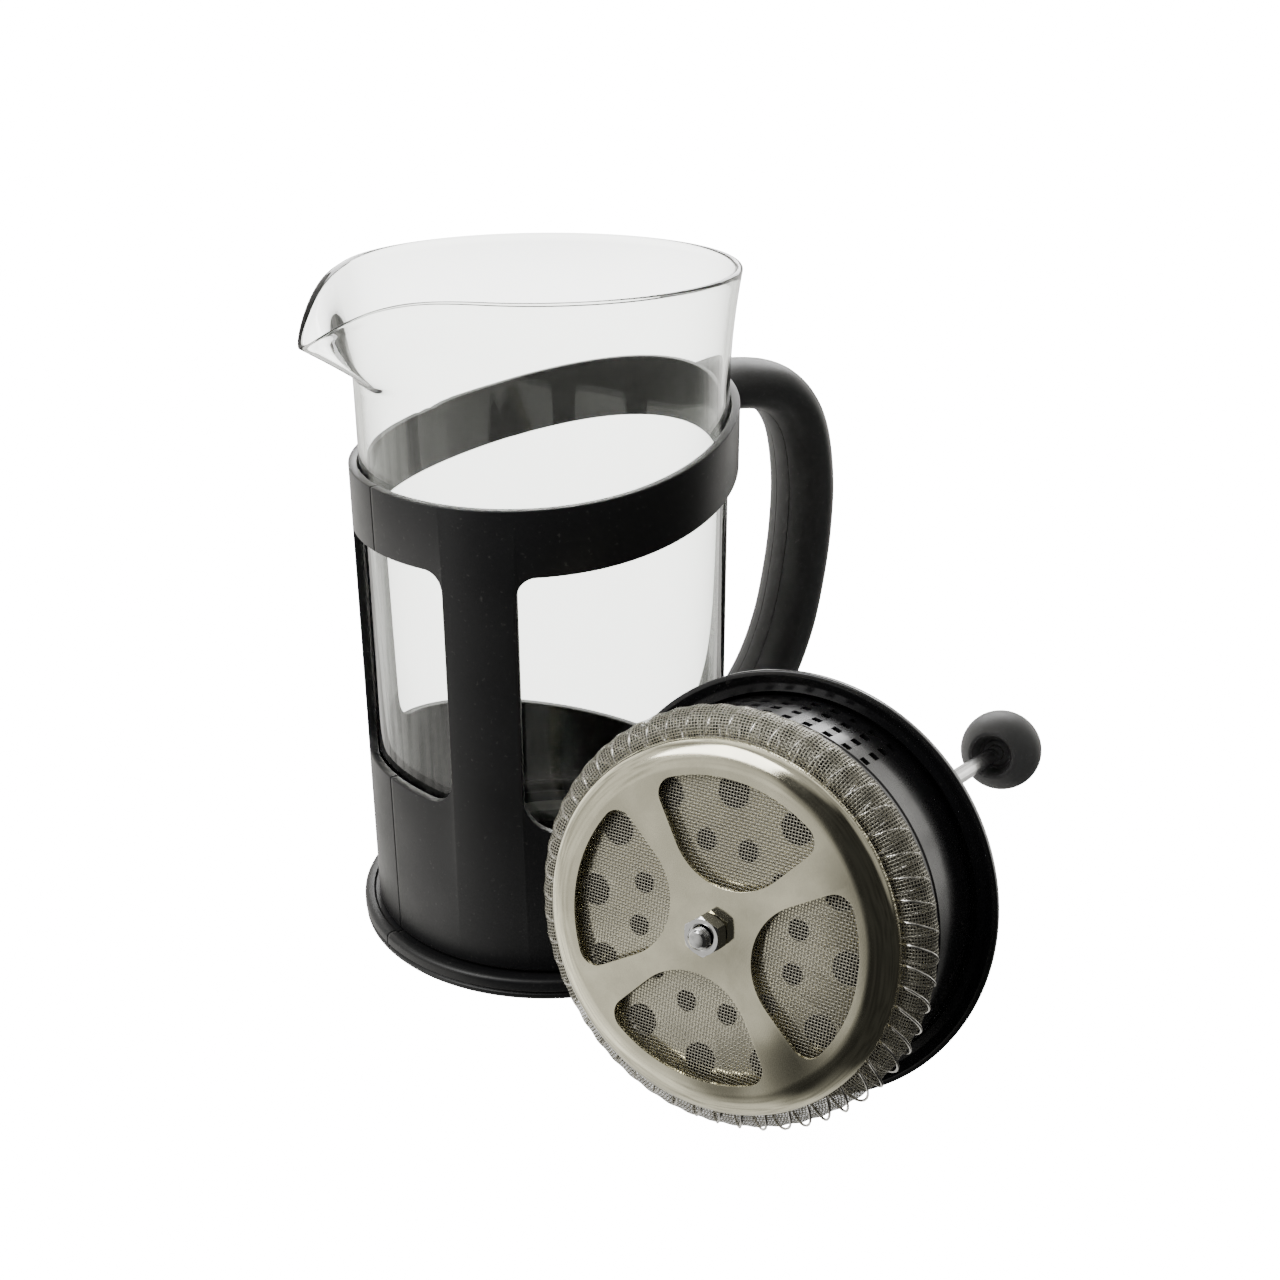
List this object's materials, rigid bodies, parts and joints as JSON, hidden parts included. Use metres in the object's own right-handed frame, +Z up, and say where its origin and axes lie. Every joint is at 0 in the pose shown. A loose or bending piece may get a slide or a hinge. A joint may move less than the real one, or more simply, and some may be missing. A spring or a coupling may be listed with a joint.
{
  "type": "french press",
  "caption": "French press: a clear glass beaker with a spout in a black plastic holder with an ear handle, and its lid, plunger and mesh filter lying beside it.",
  "frame": {"origin": "centre of the base plate's underside, on the surface that the jug stands on", "axes": "+Z up along the beaker's axis, handle at +X, spout at -X; the lid and plunger lie at -Y"},
  "size_m": [0.2321, 0.2093, 0.1816],
  "materials": {
    "clear_glass": "clear, fire-polished",
    "black_plastic": "satin black",
    "handle_plastic": "matte black",
    "pad_rubber": "matte grey",
    "lid_plastic": "glossy black",
    "knob_plastic": "matte charcoal",
    "polished_steel": "polished stainless steel",
    "mesh_wire": "fine woven wire",
    "brass_insert": "machined"
  },
  "bodies": {
    "holder": {"holder_frame": "black_plastic", "base_plate": "black_plastic", "beaker_pad": "pad_rubber", "handle_shell": "handle_plastic", "handle_cover": "handle_plastic", "handle_screw_upper": "polished_steel", "handle_screw_lower": "polished_steel"},
    "beaker": {"glass_beaker": "clear_glass"},
    "lid": {"lid_cover": "lid_plastic", "lid_strainer": "lid_plastic"},
    "guide": {"lid_bush": "lid_plastic"},
    "plunger": {"rod": "polished_steel", "knob": "knob_plastic", "knob_insert": "brass_insert", "rod_collar": "polished_steel", "upper_washer": "polished_steel", "hub_spacer": "polished_steel", "perforated_plate": "polished_steel", "coil_spring": "polished_steel", "mesh_screen": "mesh_wire", "cross_plate": "polished_steel", "hex_nut": "polished_steel"}
  },
  "joints": [
    {"name": "beaker_lift", "type": "slide", "parent": "holder", "child": "beaker", "axis": [0, 0, 1], "range_m": [0, 0.19]},
    {"name": "lid_lift", "type": "slide", "parent": "holder", "child": "lid", "axis": [0, 0, 1], "range_m": [0, 0.25]},
    {"name": "plunger_turn", "type": "hinge", "parent": "lid", "child": "guide", "pos_m": [0.0006, -0.0986, 0.05007], "axis": [0.8963, 0.386, -0.218], "continuous": true},
    {"name": "plunger_press", "type": "slide", "parent": "guide", "child": "plunger", "axis": [-0.8963, -0.386, 0.218], "range_m": [0, 0.138]}
  ]
}
